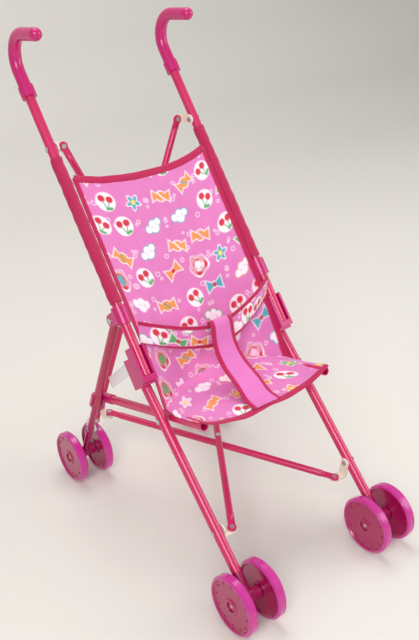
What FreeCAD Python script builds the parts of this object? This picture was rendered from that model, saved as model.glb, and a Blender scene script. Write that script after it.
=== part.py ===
import FreeCAD, Part
import math
import os

# A toy umbrella stroller for dolls: two mirrored side frames of thin tube, joined behind and
# underneath by two riveted X frames and covered by a cloth sling seat.
# Frame: +Z up, the seat faces -Y, X runs across, the floor is Z = 0.

Vector = FreeCAD.Vector
doc = FreeCAD.newDocument("DollStroller")

# ---------------------------------------------------------------- driving dimensions (mm, degrees)
SIZES = [
    ("track_half", 95.5),          # centre plane of each side frame from the middle
    ("wheel_radius", 33.0),
    ("wheel_width", 11.0),
    ("wheel_gap", 26.0),           # between the two wheels of a pair
    ("wheel_dish", 1.8),           # recess of the wheel face
    ("main_tube_dia", 11.0),
    ("leg_tube_dia", 10.0),
    ("seat_tube_dia", 10.0),
    ("brace_tube_dia", 8.0),
    ("tube_wall", 1.0),
    ("axle_dia", 4.0),
    ("rivet_dia", 3.0),
    ("running_clearance", 0.08),   # radial, axles and rivets
    ("free_clearance", 0.4),       # between faces that slide past each other
    ("upper_lean", 36.8),          # upper tube from upright
    ("lower_lean", 44.1),          # lower tube from upright
    ("leg_lean", 26.2),            # rear leg from upright
    ("front_leg_length", 264.0),   # connector to front axle
    ("tube_offset", 15.0),         # between upper and lower tube in the connector
    ("connector_to_collar", 55.0),
    ("collar_to_brace", 195.0),
    ("brace_to_handle", 69.0),
    ("leg_offset", 15.0),          # rear leg joint behind the upper tube
    ("leg_tube_length", 158.0),
    ("stem_dia", 8.0),
    ("handle_straight", 71.0),
    ("handle_reach", 79.0),
    ("handle_rise", 4.5),          # slope of the hook above level
    ("handle_bend", 26.0),
    ("handle_dia", 14.0),
    ("seat_pivot_from_joint", 65.0),
    ("seat_tube_slope", 16.8),
    ("seat_tube_front", 62.0),
    ("seat_tube_inset", 11.5),
    ("clip_drop", 12.0),
    ("clip_setback", 11.0),
    ("lug_outer", 6.4),            # rivet lug of the clip, from the frame's centre plane
    ("lug_inner", 10.3),
    ("front_brace_from_axle", 71.0),
    ("rear_brace_on_leg", 210.0),
    ("back_plane_offset", 8.0),
    ("bottom_plane_offset", 10.0),
    ("back_reach", 16.0),          # frame plane to the eyes of the back braces
    ("bottom_reach", 20.0),
    ("bracket_plate", 1.5),
    ("bracket_width", 11.0),
    ("brace_flat", 2.0),
    ("brace_stack", 4.8),          # each brace from the middle plane of its X
    ("near_gap", 0.3),             # bracket to brace at the pinned end
    ("far_gap", 1.5),              # and at the loose end
    ("cloth_thickness", 3.0),
    ("sleeve_wall", 1.5),
]

sheet = doc.addObject("Spreadsheet::Sheet", "Sizes")
for row, (alias, value) in enumerate(SIZES, 1):
    sheet.set("A%d" % row, alias)
    sheet.set("B%d" % row, str(value))
    sheet.setAlias("B%d" % row, alias)
doc.recompute()


def size(alias):
    return float(sheet.get(alias))


# ---------------------------------------------------------------- side view layout
class Point:
    """A place in the side view: y runs rearward, z up."""

    def __init__(self, y, z):
        self.y = y
        self.z = z

    def moved(self, direction, distance):
        return Point(self.y + direction.y * distance, self.z + direction.z * distance)


def upward(lean):
    """Direction of a tube that leans back by lean degrees from upright."""
    angle = math.radians(lean)
    return Point(math.sin(angle), math.cos(angle))


def square_to(direction):
    """The direction turned a quarter turn towards the rear and down."""
    return Point(direction.z, -direction.y)


def between(start, end):
    length = math.hypot(end.y - start.y, end.z - start.z)
    return Point((end.y - start.y) / length, (end.z - start.z) / length), length


upper = upward(size("upper_lean"))
lower = upward(size("lower_lean"))
behind_upper = square_to(upper)
leg_down = Point(math.sin(math.radians(size("leg_lean"))), -math.cos(math.radians(size("leg_lean"))))
leg_up = Point(-leg_down.y, -leg_down.z)
seat_rear = Point(math.cos(math.radians(size("seat_tube_slope"))),
                  -math.sin(math.radians(size("seat_tube_slope"))))
seat_up = Point(-seat_rear.z, seat_rear.y)


hook_turn = math.radians(90 + size("upper_lean") - size("handle_rise"))
hook_tangent = size("handle_bend") * math.tan(hook_turn / 2)


def lay_out(front_axle_y):
    """All joints of one side frame, worked up from the front axle."""
    at = {}
    at["front_axle"] = Point(front_axle_y, size("wheel_radius"))
    at["joint_lower"] = at["front_axle"].moved(lower, size("front_leg_length"))
    at["joint_upper"] = at["joint_lower"].moved(behind_upper, -size("tube_offset"))
    at["collar"] = at["joint_upper"].moved(upper, size("connector_to_collar"))
    at["brace_top"] = at["collar"].moved(upper, size("collar_to_brace"))
    at["handle"] = at["brace_top"].moved(upper, size("brace_to_handle"))
    at["leg_top"] = at["collar"].moved(behind_upper, size("leg_offset"))
    grip_end = at["handle"].moved(upper, size("handle_straight") - hook_tangent)
    at["hook_centre"] = grip_end.moved(behind_upper, -size("handle_bend"))
    return at


leg_length = (lay_out(0)["leg_top"].z - size("wheel_radius")) / -leg_down.z
rearmost = lay_out(0)["hook_centre"].y + size("handle_bend") + size("handle_dia") / 2
foremost = -size("wheel_radius")
at = lay_out(-(rearmost + foremost) / 2)
at["rear_axle"] = at["leg_top"].moved(leg_down, leg_length)
at["seat_pivot"] = at["joint_lower"].moved(lower, -size("seat_pivot_from_joint"))
at["brace_front"] = at["front_axle"].moved(lower, size("front_brace_from_axle"))
at["brace_low"] = at["leg_top"].moved(leg_down, size("rear_brace_on_leg"))

# the seat tube meets the rear leg where the two lines cross
cross = seat_rear.y * leg_down.z - seat_rear.z * leg_down.y
gap_y = at["leg_top"].y - at["seat_pivot"].y
gap_z = at["leg_top"].z - at["seat_pivot"].z
seat_tube_rear = (gap_y * leg_down.z - gap_z * leg_down.y) / cross
at["clip"] = at["seat_pivot"].moved(seat_rear, seat_tube_rear)
at["clip_lug"] = at["clip"].moved(seat_rear, size("clip_setback")).moved(seat_up, -size("clip_drop"))
at["seat_front"] = at["seat_pivot"].moved(seat_rear, -size("seat_tube_front"))

for name, point in at.items():
    print("%-12s y %7.2f  z %7.2f" % (name, point.y, point.z))
print("rear leg length %.2f, seat tube rear length %.2f" % (leg_length, seat_tube_rear))

track = size("track_half")
main_radius = size("main_tube_dia") / 2
leg_radius = size("leg_tube_dia") / 2
seat_radius = size("seat_tube_dia") / 2
brace_radius = size("brace_tube_dia") / 2
rivet_radius = size("rivet_dia") / 2
clear = size("free_clearance")
run = size("running_clearance")
seat_plane = track - size("seat_tube_inset")


# ---------------------------------------------------------------- building helpers
pieces = []


def keep(obj, label):
    """Marks an object as one finished sub-part."""
    obj.Label = label
    pieces.append(obj)
    return obj


def set_size(obj, name, value):
    """Binds a size to the sheet when it is an expression, or sets it."""
    if isinstance(value, str):
        obj.setExpression(name, value)
    else:
        setattr(obj, name, value)


def local(origin, x_axis, z_axis):
    """Placement with the given origin, X axis and Z axis."""
    x_unit = Vector(*x_axis).normalize()
    z_unit = Vector(*z_axis).normalize()
    y_unit = z_unit.cross(x_unit)
    matrix = FreeCAD.Matrix(x_unit.x, y_unit.x, z_unit.x, origin[0],
                            x_unit.y, y_unit.y, z_unit.y, origin[1],
                            x_unit.z, y_unit.z, z_unit.z, origin[2],
                            0, 0, 0, 1)
    return FreeCAD.Placement(matrix)


def cylinder(name, radius, height, base=(0, 0, 0), axis=(0, 0, 1)):
    obj = doc.addObject("Part::Cylinder", name)
    set_size(obj, "Radius", radius)
    set_size(obj, "Height", height)
    obj.Placement = FreeCAD.Placement(Vector(*base), FreeCAD.Rotation(Vector(0, 0, 1), Vector(*axis)))
    return obj


def block(name, x_range, y_range, z_range):
    obj = doc.addObject("Part::Box", name)
    set_size(obj, "Length", x_range[1] - x_range[0])
    set_size(obj, "Width", y_range[1] - y_range[0])
    set_size(obj, "Height", z_range[1] - z_range[0])
    obj.Placement = FreeCAD.Placement(Vector(x_range[0], y_range[0], z_range[0]), FreeCAD.Rotation())
    return obj


def joined(name, parts):
    obj = doc.addObject("Part::MultiFuse", name)
    obj.Shapes = parts
    obj.Refine = True
    return obj


def grouped(name, parts):
    """Separate solids of one kind kept in one node."""
    obj = doc.addObject("Part::Compound", name)
    obj.Links = parts
    return obj


def without(name, base, tools):
    tool = tools[0]
    if len(tools) > 1:
        tool = joined(name + "Tools", tools)
    obj = doc.addObject("Part::Cut", name)
    obj.Base = base
    obj.Tool = tool
    return obj


def rounded(name, base, radius, picks):
    """Fillets the edges of a finished shape that picks() accepts."""
    doc.recompute()
    obj = doc.addObject("Part::Fillet", name)
    obj.Base = base
    edges = []
    for number, edge in enumerate(base.Shape.Edges, 1):
        if picks(edge):
            edges.append((number, radius, radius))
    obj.Edges = edges
    return obj


def hollow_tube(name, outer, length, holes=()):
    """Thin tube from the origin up +Z, with cross holes at (height, radius) along X."""
    body = cylinder(name + "Outer", outer + " / 2", length)
    tools = [cylinder(name + "Bore", outer + " / 2 - Sizes.tube_wall", length)]
    for number, (height, radius) in enumerate(holes):
        tools.append(cylinder("%sHole%d" % (name, number), radius, 40, (-20, 0, height), (1, 0, 0)))
    return without(name, body, tools)


def along(x, point, direction):
    """Placement at x and a side-view point, with local Z along a side-view direction, local X on X."""
    return local((x, point.y, point.z), (1, 0, 0), (0, direction.y, direction.z))


SIDES = (("left", -1), ("right", 1))


# ---------------------------------------------------------------- handles
def make_handle(side, sign):
    """Plastic J handle: a collar over the tube end, a straight grip and a hook that runs forward."""
    radius = "Sizes.handle_dia / 2"
    straight = size("handle_straight") - hook_tangent
    reach = size("handle_reach") - hook_tangent
    turn = hook_turn
    start = Point(0, straight)
    # side-view frame of the handle: local Z up the tube, local Y to the rear and down
    forward = Point(-math.sin(turn), math.cos(turn))
    centre_y = -size("handle_bend")
    end = Point(centre_y + size("handle_bend") * math.cos(turn), straight + size("handle_bend") * math.sin(turn))
    name = "Handle" + side
    collar = cylinder(name + "Collar", "Sizes.handle_dia / 2 + 1.5", 13, (0, 0, -7))
    grip = cylinder(name + "Grip", radius, straight)
    bend = doc.addObject("Part::Torus", name + "Bend")
    set_size(bend, "Radius1", "Sizes.handle_bend")
    set_size(bend, "Radius2", radius)
    bend.Angle3 = math.degrees(turn)
    bend.Placement = local((0, centre_y, start.z), (0, 1, 0), (1, 0, 0))
    hook = cylinder(name + "Hook", radius, reach, (0, end.y, end.z), (0, forward.y, forward.z))
    tip = doc.addObject("Part::Sphere", name + "Tip")
    set_size(tip, "Radius", radius)
    last = end.moved(forward, reach)
    tip.Placement.Base = Vector(0, last.y, last.z)
    solid = joined(name + "Solid", [collar, grip, bend, hook, tip])
    bore = cylinder(name + "Bore", "Sizes.main_tube_dia / 2", 19, (0, 0, -8))
    obj = without(name, solid, [bore])
    obj.Placement = along(sign * track, at["handle"], upper)
    return keep(obj, "handle_" + side)


# ---------------------------------------------------------------- main tubes
def make_upper_tube(side, sign):
    """From inside the handle down into the connector, drilled for the brace rivet."""
    into_handle = 10.0
    into_connector = 14.0
    length = (into_handle + size("brace_to_handle") + size("collar_to_brace")
              + size("connector_to_collar") + into_connector)
    rivet_height = into_connector + size("connector_to_collar") + size("collar_to_brace")
    obj = hollow_tube("UpperTube" + side, "Sizes.main_tube_dia", length, [(rivet_height, rivet_radius + 0.05)])
    obj.Placement = along(sign * track, at["joint_upper"].moved(upper, -into_connector), upper)
    return keep(obj, "upper_tube_" + side)


def make_lower_tube(side, sign):
    """Front leg: from the connector down over the plug of the fork."""
    above_joint = 8.0
    fork_share = 27.0
    length = size("front_leg_length") + above_joint - fork_share
    holes = [(size("front_brace_from_axle") - fork_share, rivet_radius + 0.05),
             (size("front_leg_length") - size("seat_pivot_from_joint") - fork_share, rivet_radius + 0.05)]
    obj = hollow_tube("LowerTube" + side, "Sizes.main_tube_dia", length, holes)
    obj.Placement = along(sign * track, at["front_axle"].moved(lower, fork_share), lower)
    return keep(obj, "lower_tube_" + side)


def make_connector(side, sign):
    """Plastic channel that holds both tubes side by side; its wings lie along the upper tube."""
    name = "Connector" + side
    half = main_radius + 3.0
    reach = size("tube_offset") + main_radius + 2.2
    back = block(name + "Back", (-half, half), (0, reach), (-24, 9.5))
    front = block(name + "Front", (-half, half), (0, main_radius + 3), (-21, 19))
    wing_low = block(name + "WingA", (-half, -main_radius - 0.4), (-6, 1), (-21, 19))
    wing_high = block(name + "WingB", (main_radius + 0.4, half), (-6, 1), (-21, 19))
    toe = block(name + "Toe", (-half, half), (-6, 3), (-21, -14.5))
    solid = joined(name + "Solid", [back, front, wing_low, wing_high, toe])
    upper_bore = cylinder(name + "UpperBore", "Sizes.main_tube_dia / 2", 60, (0, 0, -14))
    tilt = math.radians(size("lower_lean") - size("upper_lean"))
    lower_bore = cylinder(name + "LowerBore", "Sizes.main_tube_dia / 2", 60)
    top = (0, size("tube_offset") + 8 * math.sin(tilt), 8 * math.cos(tilt))
    lower_bore.Placement = local(top, (1, 0, 0), (0, -math.sin(tilt), -math.cos(tilt)))
    obj = without(name, solid, [upper_bore, lower_bore])
    obj = rounded(name + "Round", obj, 1.2, lambda edge: outer_edge(edge, half, reach))
    obj.Placement = along(sign * track, at["joint_upper"], upper)
    return keep(obj, "frame_connector_" + side)


def outer_edge(edge, half, reach):
    """The straight outer corners of the connector block, clear of the bores."""
    if len(edge.Vertexes) != 2 or edge.Curve.TypeId != "Part::GeomLine":
        return False
    middle = edge.valueAt((edge.FirstParameter + edge.LastParameter) / 2)
    rear = abs(middle.y - reach) < 0.01
    return rear and abs(abs(middle.x) - half) < 0.01


def make_collar(side, sign):
    """Plastic ring on the upper tube with two cheeks that carry the pin of the rear leg."""
    name = "Collar" + side
    slot = leg_radius + clear
    cheek = slot + 2.5
    offset = size("leg_offset")
    ring = cylinder(name + "Ring", "Sizes.main_tube_dia / 2 + 3", 20, (0, 0, -10))
    web = block(name + "Web", (-cheek, cheek), (3, offset), (-7, 7))
    nose = cylinder(name + "Nose", 7.0, 2 * cheek, (-cheek, offset, 0), (1, 0, 0))
    solid = joined(name + "Solid", [ring, web, nose])
    bore = cylinder(name + "Bore", "Sizes.main_tube_dia / 2", 30, (0, 0, -15))
    gap = block(name + "Gap", (-slot, slot), (main_radius + 3.2, offset + 9), (-12, 12))
    pin_hole = cylinder(name + "PinHole", "Sizes.axle_dia / 2", 40, (-20, offset, 0), (1, 0, 0))
    obj = without(name, solid, [bore, gap, pin_hole])
    obj.Placement = along(sign * track, at["collar"], upper)
    return keep(obj, "pivot_collar_" + side)


# ---------------------------------------------------------------- rear legs and forks
def make_rear_leg(side, sign):
    """Rear leg tube, drilled for its pin near the top."""
    above_pin = 3.5
    length = size("leg_tube_length")
    holes = [(length, "Sizes.axle_dia / 2 + Sizes.running_clearance")]
    obj = hollow_tube("RearLeg" + side, "Sizes.leg_tube_dia", length + above_pin, holes)
    obj.Placement = along(sign * track, at["leg_top"].moved(leg_down, length), leg_up)
    return keep(obj, "rear_leg_" + side)


def make_fork(end, side, sign):
    """Plastic fork: a plug in the tube, a stem and a cross hub for the axle."""
    name = "Fork%s%s" % (end, side)
    if end == "front":
        tube, share, direction, stem = "main_tube_dia", 27.0, lower, "Sizes.main_tube_dia / 2"
    else:
        tube, share = "leg_tube_dia", leg_length - size("leg_tube_length")
        direction, stem = leg_up, "Sizes.stem_dia / 2"
    hub_length = size("wheel_gap") - 2 * clear
    body = cylinder(name + "Stem", stem, share)
    plug = cylinder(name + "Plug", "Sizes.%s / 2 - Sizes.tube_wall" % tube, 12, (0, 0, share))
    shoulder = cylinder(name + "Shoulder", "Sizes.%s / 2" % tube, 5, (0, 0, share - 5))
    hub = cylinder(name + "Hub", 7.0, hub_length, (-hub_length / 2, 0, 0), (1, 0, 0))
    solid = joined(name + "Solid", [body, plug, shoulder, hub])
    tools = [cylinder(name + "Bore", "Sizes.axle_dia / 2 + Sizes.running_clearance", 60, (-30, 0, 0), (1, 0, 0))]
    if end == "rear":
        brace_height = leg_length - size("rear_brace_on_leg")
        tools.append(cylinder(name + "RivetHole", rivet_radius, 40, (-20, 0, brace_height), (1, 0, 0)))
    obj = without(name, solid, tools)
    obj.Placement = along(sign * track, at[end + "_axle"], direction)
    return keep(obj, "%s_fork_%s" % (end, side))


def make_axle(end, side, sign):
    """Steel pin through the hub and both wheels."""
    length = size("wheel_gap") + 2 * size("wheel_width") - 2 * size("wheel_dish")
    obj = cylinder("Axle%s%s" % (end, side), "Sizes.axle_dia / 2", length)
    obj.Placement = local((sign * track - length / 2, at[end + "_axle"].y, at[end + "_axle"].z), (0, 0, -1), (1, 0, 0))
    return keep(obj, "%s_axle_%s" % (end, side))


def make_wheel(name, x_face, end, outward):
    """Solid plastic wheel with a dished face and a ring of raised dots; local Z points outward."""
    radius = size("wheel_radius")
    width = size("wheel_width")
    dish = size("wheel_dish")
    corner = 2.0
    bore = size("axle_dia") / 2 + run
    outline = [(bore, dish), (8, dish), (8, 0.4), (10, 0.4), (10, dish), (28, dish), (29.5, 0), (radius - corner, 0),
               (radius, corner), (radius, width - corner), (radius - corner, width), (29.5, width),
               (28, width - dish), (10, width - dish), (8.5, width - 0.6), (6, width - 0.2), (6, width - dish),
               (bore, width - dish)]
    body = doc.addObject("PartDesign::Body", "Wheel" + name)
    planes = {feature.Role: feature for feature in body.Origin.OriginFeatures}
    profile = body.newObject("Sketcher::SketchObject", "Wheel%sProfile" % name)
    profile.AttachmentSupport = [(planes["XZ_Plane"], "")]
    profile.MapMode = "FlatFace"
    for start, end_point in zip(outline, outline[1:] + outline[:1]):
        profile.addGeometry(Part.LineSegment(Vector(start[0], start[1], 0), Vector(end_point[0], end_point[1], 0)))
    turned_part = body.newObject("PartDesign::Revolution", "Wheel%sTurned" % name)
    turned_part.Profile = profile
    turned_part.ReferenceAxis = (profile, ["V_Axis"])
    turned_part.Angle = 360
    body.Tip = turned_part
    doc.recompute()
    spot = body.newObject("Sketcher::SketchObject", "Wheel%sSpot" % name)
    spot.AttachmentSupport = [(planes["XY_Plane"], "")]
    spot.MapMode = "FlatFace"
    spot.AttachmentOffset = FreeCAD.Placement(Vector(0, 0, width / 2), FreeCAD.Rotation())
    spot.addGeometry(Part.Circle(Vector(25, 0, 0), Vector(0, 0, 1), 1.3))
    dot = body.newObject("PartDesign::Pad", "Wheel%sDot" % name)
    dot.Profile = spot
    dot.Length = width / 2 - dish + 0.7
    body.Tip = dot
    doc.recompute()
    ring = body.newObject("PartDesign::PolarPattern", "Wheel%sDots" % name)
    ring.Originals = [dot]
    ring.Axis = (spot, ["N_Axis"])
    ring.Angle = 360
    ring.Occurrences = 12
    body.Tip = ring
    doc.recompute()
    body.Placement = local((x_face, at[end].y, at[end].z), (0, 1, 0), (outward, 0, 0))
    return keep(body, name)


# ---------------------------------------------------------------- seat tubes and rear clips
def make_seat_tube(side, sign):
    """Carries the edge of the seat cloth; pinned to the lower tube, clipped to the rear leg."""
    front = size("seat_tube_front")
    obj = hollow_tube("SeatTube" + side, "Sizes.seat_tube_dia", front + seat_tube_rear,
                      [(front, rivet_radius + run)])
    obj.Placement = along(sign * seat_plane, at["seat_front"], seat_rear)
    return keep(obj, "seat_tube_" + side)


def make_seat_clip(side, sign):
    """Sleeve on the end of the seat tube, a half ring that snaps on the rear leg, and a rivet lug."""
    name = "Clip" + side
    inset = size("seat_tube_inset")
    drop = size("clip_drop")
    back = size("clip_setback")
    lug_length = math.hypot(drop, back)
    sleeve = cylinder(name + "Sleeve", "Sizes.seat_tube_dia / 2 + 1", 27, (0, 0, -20))
    lug_x = sorted((sign * (inset - size("lug_inner")), sign * (inset - size("lug_outer"))))
    boss = cylinder(name + "Boss", 4.5, lug_x[1] - lug_x[0], (lug_x[0], drop, back), (1, 0, 0))
    arm = block(name + "Arm", lug_x, (-4.5, 4.5), (0, lug_length))
    arm.Placement = local((lug_x[0], 0, 0), (1, 0, 0), (0, drop, back))
    arm.Placement.Base = Vector(lug_x[0], -4.5 * back / lug_length, 4.5 * drop / lug_length)
    # the half ring is drawn about the leg: local Y is forward, away from the clip's rear wall
    bore = leg_radius + clear
    lean = (0, leg_down.y * -seat_up.y + leg_down.z * -seat_up.z, leg_down.y * seat_rear.y + leg_down.z * seat_rear.z)
    frame = local((sign * inset, 0, 0), (1, 0, 0), lean)
    ring_solid = cylinder(name + "Ring", bore + 2.6, 16, (0, 0, -8))
    bar_x = sorted((0.0, -sign * inset))
    bar = block(name + "Bar", bar_x, (-bore - 2.6, -bore + 0.2), (-6, 6))
    ring_body = joined(name + "RingBody", [ring_solid, bar])
    ring_bore = cylinder(name + "RingBore", bore, 20, (0, 0, -10))
    ring_mouth = block(name + "RingMouth", (-10, 10), (0, 12), (-10, 10))
    ring = without(name + "HalfRing", ring_body, [ring_bore, ring_mouth])
    ring.Placement = frame
    solid = joined(name + "Solid", [sleeve, boss, arm, ring])
    tube_bore = cylinder(name + "TubeBore", "Sizes.seat_tube_dia / 2", 30, (0, 0, -30))
    rivet_hole = cylinder(name + "RivetHole", rivet_radius, 40, (-20, drop, back), (1, 0, 0))
    obj = without(name, solid, [tube_bore, rivet_hole])
    obj.Placement = along(sign * seat_plane, at["clip"], seat_rear)
    return keep(obj, "seat_clip_" + side)


# ---------------------------------------------------------------- X frames
class Plane:
    """The slanted plane of one X frame: u runs from the pinned ends to the loose ends."""

    def __init__(self, start, end, reach, offset, outside):
        self.start = start
        self.end = end
        self.u, self.distance = between(start, end)
        self.n = square_to(self.u)
        self.n_sign = 1
        if self.n.y * outside.y + self.n.z * outside.z < 0:
            self.n = Point(-self.n.y, -self.n.z)
            self.n_sign = -1
        self.reach = reach
        self.offset = offset

    def brace_offset(self, sign):
        """The brace pinned on the left lies nearer the seat than the other one."""
        return self.offset + sign * size("brace_stack")


back_plane = Plane(at["brace_top"], at["brace_low"], size("back_reach"), size("back_plane_offset"), Point(1, 0))
bottom_plane = Plane(at["brace_front"], at["clip_lug"], size("bottom_reach"), size("bottom_plane_offset"),
                     Point(0, -1))


def make_bracket(label, sign, plane, place, plate_at, gap, offset):
    """Bent steel plate: one leaf turns on a rivet of the frame, the other holds the eye of a brace."""
    name = "".join(word.capitalize() for word in label.split("_"))
    inward = -sign
    side_n = plane.n_sign
    thick = size("bracket_plate")
    half = size("bracket_width") / 2
    leaf = offset + size("brace_flat") / 2 + gap
    eye = rivet_radius + run
    rim = half
    if gap > size("near_gap"):
        eye = 3.7
        rim = half + 0.8
    side_x = sorted((inward * plate_at, inward * (plate_at + thick)))
    side_leaf = block(name + "Side", side_x, sorted((0, side_n * (leaf + thick))), (-half, half))
    side_round = cylinder(name + "SideRound", half, thick, (side_x[0], 0, 0), (1, 0, 0))
    cross_y = sorted((side_n * leaf, side_n * (leaf + thick)))
    cross_leaf = block(name + "Cross", sorted((inward * plate_at, inward * plane.reach)), cross_y, (-half, half))
    cross_round = cylinder(name + "CrossRound", rim, thick, (inward * plane.reach, cross_y[0], 0), (0, 1, 0))
    solid = joined(name + "Solid", [side_leaf, side_round, cross_leaf, cross_round])
    rivet_hole = cylinder(name + "RivetHole", rivet_radius + run, 60, (-30, 0, 0), (1, 0, 0))
    eye_hole = cylinder(name + "Eye", eye, 80, (inward * plane.reach, -40, 0), (0, 1, 0))
    obj = without(name, solid, [rivet_hole, eye_hole])
    obj.Placement = along(sign * track, place, plane.u)
    return keep(obj, label)


def brace_placement(sign, plane):
    """Local Z along the brace, local X along the plane's normal; returns the length too."""
    offset = plane.brace_offset(sign)
    half = track - plane.reach
    start = plane.start.moved(plane.n, offset)
    end = plane.end.moved(plane.n, offset)
    direction = Vector(-sign * 2 * half, end.y - start.y, end.z - start.z)
    normal = (0, plane.n.y, plane.n.z)
    origin = (sign * half, start.y, start.z)
    return local(origin, normal, (direction.x, direction.y, direction.z)), direction.Length


def make_brace(label, sign, plane):
    """Tube with two flattened, drilled ends and a cross hole for the middle rivet."""
    name = "".join(word.capitalize() for word in label.split("_"))
    placement, length = brace_placement(sign, plane)
    flat = size("brace_flat") / 2
    tab = 5.0
    start = 15.0
    tube = cylinder(name + "Tube", "Sizes.brace_tube_dia / 2", length - 2 * start, (0, 0, start))
    parts = [tube]
    for number, (height, along_z) in enumerate(((0, 1), (length, -1))):
        z_range = sorted((height, height + along_z * (start + 6)))
        parts.append(block("%sTab%d" % (name, number), (-flat, flat), (-tab + 1, tab - 1), z_range))
        parts.append(cylinder("%sEyeRound%d" % (name, number), tab, 2 * flat, (-flat, 0, height), (1, 0, 0)))
        neck = doc.addObject("Part::Cone", "%sNeck%d" % (name, number))
        set_size(neck, "Radius1", 1.4)
        set_size(neck, "Radius2", "Sizes.brace_tube_dia / 2")
        set_size(neck, "Height", 5)
        neck.Placement = FreeCAD.Placement(Vector(0, 0, height + along_z * (start - 5)),
                                           FreeCAD.Rotation(Vector(0, 0, 1), Vector(0, 0, along_z)))
        parts.append(neck)
    solid = joined(name + "Solid", parts)
    tools = [cylinder(name + "Bore", "Sizes.brace_tube_dia / 2 - Sizes.tube_wall", length - 2 * start - 14,
                      (0, 0, start + 7)),
             cylinder(name + "MiddleHole", rivet_radius, 40, (-20, 0, length / 2), (1, 0, 0))]
    for number, height in enumerate((0, length)):
        tools.append(cylinder("%sEye%d" % (name, number), rivet_radius, 40, (-20, 0, height), (1, 0, 0)))
    obj = without(name, solid, tools)
    obj.Placement = placement
    return keep(obj, label)


def rivet(name, place_z, low, high, head=2.7, far_head=2.7):
    """Rivet along local X from low to high, with a head at each end."""
    thick = 0.9
    shaft = cylinder(name + "Shaft", "Sizes.rivet_dia / 2", high - low, (low, 0, place_z), (1, 0, 0))
    first = cylinder(name + "HeadA", head, thick, (low - thick, 0, place_z), (1, 0, 0))
    second = cylinder(name + "HeadB", far_head, thick, (high, 0, place_z), (1, 0, 0))
    return joined(name, [shaft, first, second])


def make_brace_rivets(label, sign, plane):
    """The three rivets that stay in one brace: pinned end, middle and loose end."""
    name = "".join(word.capitalize() for word in label.split("_"))
    placement, length = brace_placement(sign, plane)
    flat = size("brace_flat") / 2
    thick = size("bracket_plate")
    near = rivet(name + "Near", 0, -flat, flat + 2 * size("near_gap") + thick)
    far = rivet(name + "Far", length, -flat, flat + 2 * size("far_gap") + thick, 2.7, 5.2)
    # the middle rivet is shared by two braces: each carries the half on its own side
    half_low = sorted((sign * (brace_radius + 0.0), -sign * (size("brace_stack") - 0.2)))
    shaft = cylinder(name + "MiddleShaft", "Sizes.rivet_dia / 2", half_low[1] - half_low[0],
                     (half_low[0], 0, length / 2), (1, 0, 0))
    cap_x = sorted((sign * brace_radius, sign * (brace_radius + 0.9)))
    cap = cylinder(name + "MiddleCap", 2.7, 0.9, (cap_x[0], 0, length / 2), (1, 0, 0))
    middle = joined(name + "Middle", [shaft, cap])
    obj = grouped(name, [near, middle, far])
    obj.Placement = placement
    return keep(obj, label)


def cross_rivet(name, sign, place, x_outer, x_inner, radius="Sizes.rivet_dia / 2", head=2.7):
    """Rivet along X through a side frame; distances run inward from the frame's centre plane."""
    thick = 0.9
    low, high = sorted((sign * (track + x_outer), sign * (track - x_inner)))
    shaft = cylinder(name + "Shaft", radius, high - low, (low, place.y, place.z), (1, 0, 0))
    first = cylinder(name + "HeadA", head, thick, (low - thick, place.y, place.z), (1, 0, 0))
    second = cylinder(name + "HeadB", head, thick, (high, place.y, place.z), (1, 0, 0))
    return joined(name, [shaft, first, second])


def make_frame_rivets(side, sign):
    """Rivets that stay in the side frame, and the pin of the rear leg."""
    name = "FrameRivets" + side
    inner = main_radius + clear + size("bracket_plate") + 0.3
    seat_inner = size("seat_tube_inset") + seat_radius + clear
    cheek = leg_radius + clear + 2.5
    rivets = [cross_rivet(name + "Back", sign, at["brace_top"], main_radius, inner),
              cross_rivet(name + "Bottom", sign, at["brace_front"], main_radius, inner),
              cross_rivet(name + "Seat", sign, at["seat_pivot"], main_radius, seat_inner),
              cross_rivet(name + "Leg", sign, at["leg_top"], cheek, cheek, "Sizes.axle_dia / 2", 3.3)]
    return keep(grouped(name, rivets), "frame_rivets_" + side)


def make_leg_rivet(side, sign):
    stem_radius = size("stem_dia") / 2
    inner = stem_radius + clear + size("bracket_plate") + 0.3
    obj = cross_rivet("LegRivet" + side, sign, at["brace_low"], stem_radius, inner)
    return keep(obj, "leg_rivet_" + side)


def make_clip_rivet(side, sign):
    outer = -size("lug_outer")
    inner = size("lug_inner") + clear + size("bracket_plate") + 0.3
    obj = cross_rivet("ClipRivet" + side, sign, at["clip_lug"], outer, inner)
    return keep(obj, "clip_rivet_" + side)


# ---------------------------------------------------------------- cloth
def slab(name, start, end, half_width, thickness):
    """Flat piece of cloth between two side-view points; its middle surface joins them."""
    direction, length = between(start, end)
    obj = doc.addObject("Part::Box", name)
    set_size(obj, "Length", 2 * half_width)
    set_size(obj, "Width", thickness)
    set_size(obj, "Height", length)
    placement = along(-half_width, start, direction)
    shift = placement.Rotation.multVec(Vector(0, -float(thickness) / 2, 0))
    placement.Base = placement.Base + shift
    obj.Placement = placement
    return obj


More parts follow.
